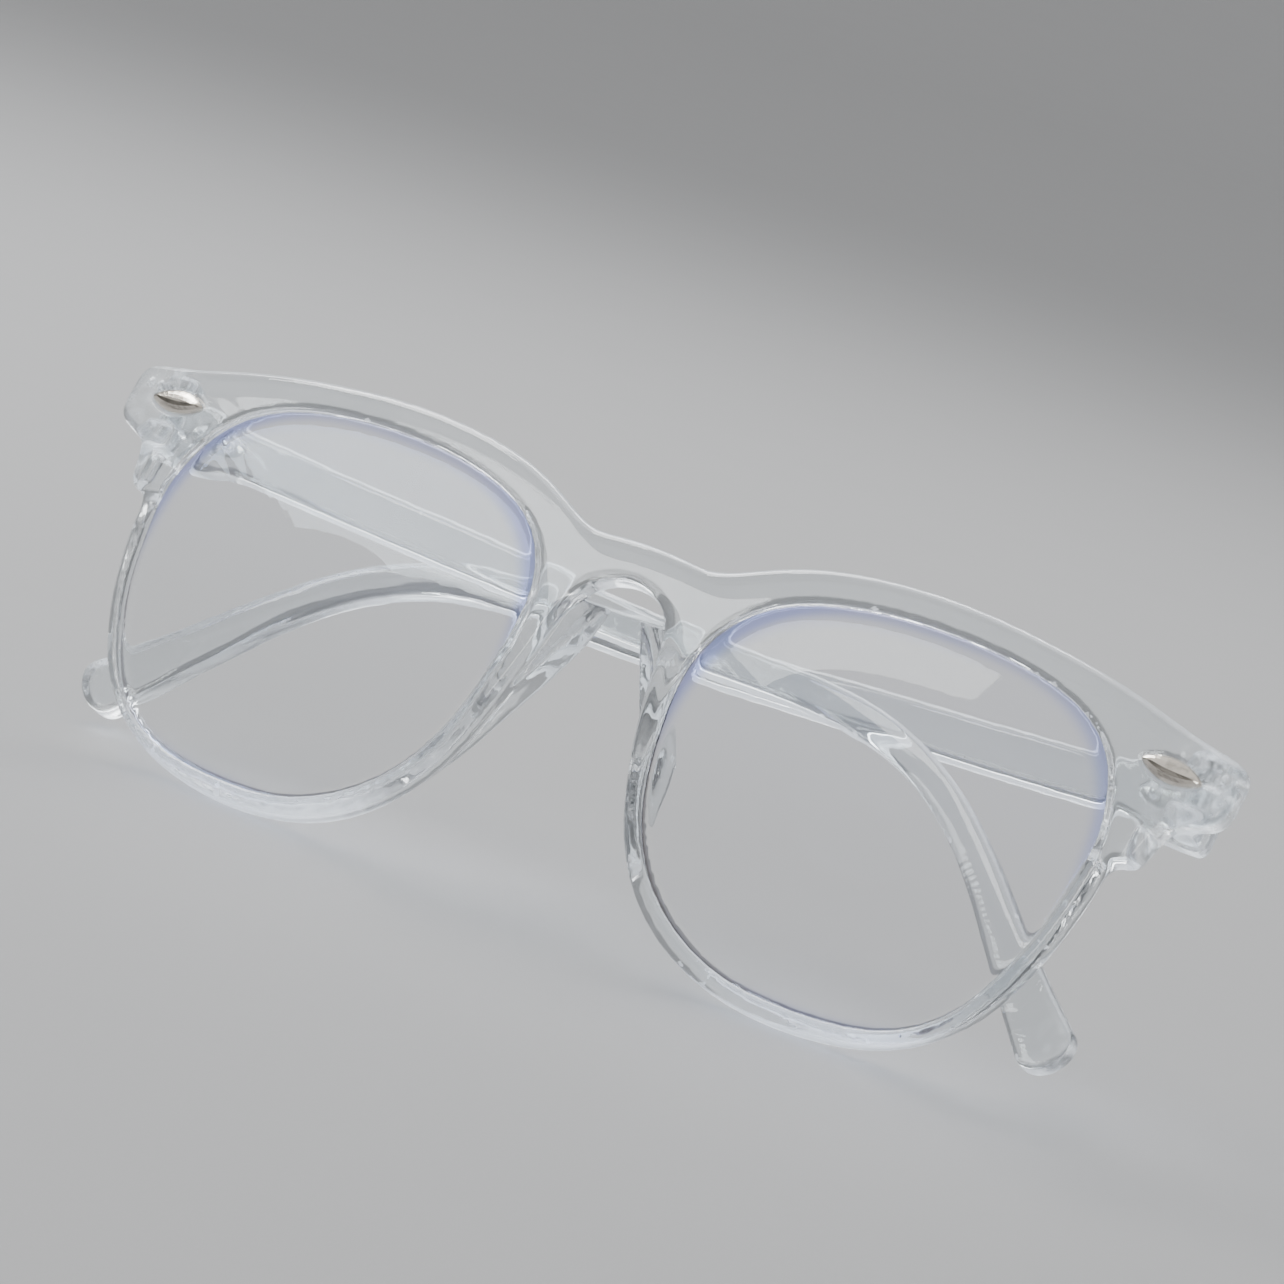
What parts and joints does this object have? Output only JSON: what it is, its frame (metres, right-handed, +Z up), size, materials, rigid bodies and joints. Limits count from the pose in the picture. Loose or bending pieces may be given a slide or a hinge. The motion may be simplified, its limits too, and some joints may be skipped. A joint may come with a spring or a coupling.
{
  "type": "eyeglasses",
  "caption": "Clear plastic eyeglasses, folded: rounded rims, keyhole bridge with moulded nose flanges, silver almond studs and side arms on screw hinges.",
  "frame": {"origin": "on the ground under the middle of the folded glasses' bounding box", "axes": "+Z up; the lenses face -Y; +X runs from the arm folded next to the front (temple_left's hinge) to the hinge of the arm folded over it (temple_right)"},
  "size_m": [0.1432, 0.0306, 0.0476],
  "materials": {
    "clear_frame": "gloss",
    "clear_temple": "gloss",
    "lens": "gloss",
    "silver": "polished"
  },
  "bodies": {
    "front": {"front_frame": "clear_frame", "lens_left": "lens", "lens_right": "lens", "front_stud_left": "silver", "front_stud_right": "silver", "hinge_screw_left": "silver", "hinge_screw_right": "silver"},
    "arm_left": {"temple_left": "clear_temple", "temple_stud_left": "silver"},
    "arm_right": {"temple_right": "clear_temple", "temple_stud_right": "silver"}
  },
  "joints": [
    {"name": "arm_left_hinge", "type": "hinge", "parent": "front", "child": "arm_left", "pos_m": [-0.0662, 0.00776, 0.0353], "axis": [0, 0.3746, 0.9272], "range_deg": [0, 93.5]},
    {"name": "arm_right_hinge", "type": "hinge", "parent": "front", "child": "arm_right", "pos_m": [0.0662, 0.00776, 0.0353], "axis": [0, -0.3746, -0.9272], "range_deg": [0, 89.2]}
  ]
}
